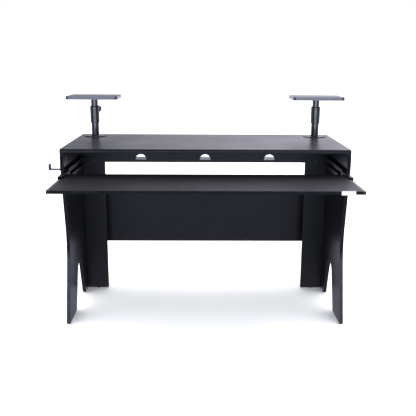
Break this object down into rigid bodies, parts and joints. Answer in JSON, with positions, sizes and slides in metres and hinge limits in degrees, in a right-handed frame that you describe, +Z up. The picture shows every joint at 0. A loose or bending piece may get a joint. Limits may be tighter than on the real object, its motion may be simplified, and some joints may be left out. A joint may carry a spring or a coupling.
{
  "type": "computer desk with keyboard tray",
  "caption": "Black laminate computer desk with a pull-out keyboard tray on telescopic slides, a rear cable box, a headphone hook and swivelling clamped platforms.",
  "frame": {"origin": "on the floor, at the middle of the desk's bounding box with its tray drawn out", "axes": "+X to the user's right along the desk's length, +Y from the user towards the back, +Z up"},
  "size_m": [1.514, 1.0866, 1.1135],
  "materials": {
    "laminate": "satin black melamine laminate on particle board",
    "edge_band": "satin black edge band",
    "black_steel": "satin black powder coat",
    "slide_steel": "black zinc-plated rolled steel",
    "zinc_fittings": "zinc plate",
    "black_plastic": "fine-grained black plastic",
    "pale_plastic": "white plastic",
    "beech": "raw beech"
  },
  "bodies": {
    "frame": {"desktop": "laminate", "desktop_lipping": "edge_band", "side_panel_left": "laminate", "side_panel_right": "laminate", "side_bands": "edge_band", "rear_leg_left": "laminate", "rear_leg_right": "laminate", "modesty_panel": "laminate", "cable_shelf": "laminate", "cable_panel": "laminate", "wood_dowels": "beech", "cam_locks": "zinc_fittings", "cam_bolts": "zinc_fittings", "side_screws": "zinc_fittings", "side_screw_caps": "black_plastic", "shelf_screws": "zinc_fittings", "shelf_edge_plugs": "zinc_fittings", "panel_plugs": "pale_plastic", "foot_glides": "black_plastic", "slide_outer_left": "slide_steel", "slide_outer_right": "slide_steel", "slide_screws": "zinc_fittings", "slide_stops": "black_plastic", "headphone_hook": "black_steel", "hook_screws": "zinc_fittings", "base_plates": "black_steel", "base_screws": "zinc_fittings", "lower_tube_left": "black_steel", "clamp_collar_left": "black_plastic", "lower_tube_right": "black_steel", "clamp_collar_right": "black_plastic"},
    "tray": {"keyboard_tray": "laminate", "tray_edge_band": "edge_band", "front_plate": "pale_plastic", "slide_inner_left": "slide_steel", "slide_inner_right": "slide_steel", "tray_screws": "zinc_fittings", "slide_end_caps": "black_plastic"},
    "slide_middle_left": {"slide_middle_left": "slide_steel"},
    "outer_cage_left": {"outer_ball_cage_left": "slide_steel"},
    "inner_cage_left": {"inner_ball_cage_left": "slide_steel"},
    "slide_middle_right": {"slide_middle_right": "slide_steel"},
    "outer_cage_right": {"outer_ball_cage_right": "slide_steel"},
    "inner_cage_right": {"inner_ball_cage_right": "slide_steel"},
    "bush_left": {"guide_bush_left": "pale_plastic"},
    "platform_left": {"upper_tube_left": "black_steel", "top_plate_left": "black_steel", "top_screws_left": "zinc_fittings", "platform_left": "laminate"},
    "clamp_pad_left": {"clamp_pad_left": "zinc_fittings"},
    "clamp_knob_left": {"clamp_screw_left": "zinc_fittings", "clamp_knob_left": "black_plastic"},
    "bush_right": {"guide_bush_right": "pale_plastic"},
    "platform_right": {"upper_tube_right": "black_steel", "top_plate_right": "black_steel", "top_screws_right": "zinc_fittings", "platform_right": "laminate"},
    "clamp_pad_right": {"clamp_pad_right": "zinc_fittings"},
    "clamp_knob_right": {"clamp_screw_right": "zinc_fittings", "clamp_knob_right": "black_plastic"}
  },
  "joints": [
    {"name": "tray_slide", "type": "slide", "parent": "frame", "child": "tray", "axis": [0, 1, 0], "range_m": [0, 0.445]},
    {"name": "slide_middle_left_travel", "type": "slide", "parent": "frame", "child": "slide_middle_left", "axis": [0, 1, 0], "range_m": [0, 0.2225]},
    {"name": "outer_cage_left_travel", "type": "slide", "parent": "frame", "child": "outer_cage_left", "axis": [0, 1, 0], "range_m": [0, 0.11125]},
    {"name": "inner_cage_left_travel", "type": "slide", "parent": "frame", "child": "inner_cage_left", "axis": [0, 1, 0], "range_m": [0, 0.33375]},
    {"name": "slide_middle_right_travel", "type": "slide", "parent": "frame", "child": "slide_middle_right", "axis": [0, 1, 0], "range_m": [0, 0.2225]},
    {"name": "outer_cage_right_travel", "type": "slide", "parent": "frame", "child": "outer_cage_right", "axis": [0, 1, 0], "range_m": [0, 0.11125]},
    {"name": "inner_cage_right_travel", "type": "slide", "parent": "frame", "child": "inner_cage_right", "axis": [0, 1, 0], "range_m": [0, 0.33375]},
    {"name": "platform_swivel_left", "type": "hinge", "parent": "frame", "child": "bush_left", "pos_m": [-0.606, 0.43085, 1.053], "axis": [0, 0, 1], "continuous": true},
    {"name": "platform_height_left", "type": "slide", "parent": "bush_left", "child": "platform_left", "axis": [0, 0, 1], "range_m": [-0.015, 0.09]},
    {"name": "clamp_pad_travel_left", "type": "slide", "parent": "frame", "child": "clamp_pad_left", "axis": [0.2419, 0.9703, 0], "range_m": [0, 0.0019]},
    {"name": "clamp_knob_turn_left", "type": "hinge", "parent": "clamp_pad_left", "child": "clamp_knob_left", "pos_m": [-0.5939, 0.47936, 1.037], "axis": [0.2419, 0.9703, 0], "range_deg": [0, 540]},
    {"name": "platform_swivel_right", "type": "hinge", "parent": "frame", "child": "bush_right", "pos_m": [0.618, 0.43085, 1.053], "axis": [0, 0, 1], "continuous": true},
    {"name": "platform_height_right", "type": "slide", "parent": "bush_right", "child": "platform_right", "axis": [0, 0, 1], "range_m": [-0.015, 0.09]},
    {"name": "clamp_pad_travel_right", "type": "slide", "parent": "frame", "child": "clamp_pad_right", "axis": [0.2419, 0.9703, 0], "range_m": [0, 0.0019]},
    {"name": "clamp_knob_turn_right", "type": "hinge", "parent": "clamp_pad_right", "child": "clamp_knob_right", "pos_m": [0.6301, 0.47936, 1.037], "axis": [0.2419, 0.9703, 0], "range_deg": [0, 540]}
  ],
  "couplings": [
    {"joint": "slide_middle_left_travel", "follows": "tray_slide", "ratio": 0.5},
    {"joint": "outer_cage_left_travel", "follows": "tray_slide", "ratio": 0.25},
    {"joint": "inner_cage_left_travel", "follows": "tray_slide", "ratio": 0.75},
    {"joint": "slide_middle_right_travel", "follows": "tray_slide", "ratio": 0.5},
    {"joint": "outer_cage_right_travel", "follows": "tray_slide", "ratio": 0.25},
    {"joint": "inner_cage_right_travel", "follows": "tray_slide", "ratio": 0.75},
    {"joint": "clamp_pad_travel_left", "follows": "clamp_knob_turn_left", "m_per_rad": 0.00019894},
    {"joint": "clamp_pad_travel_right", "follows": "clamp_knob_turn_right", "m_per_rad": 0.00019894}
  ]
}
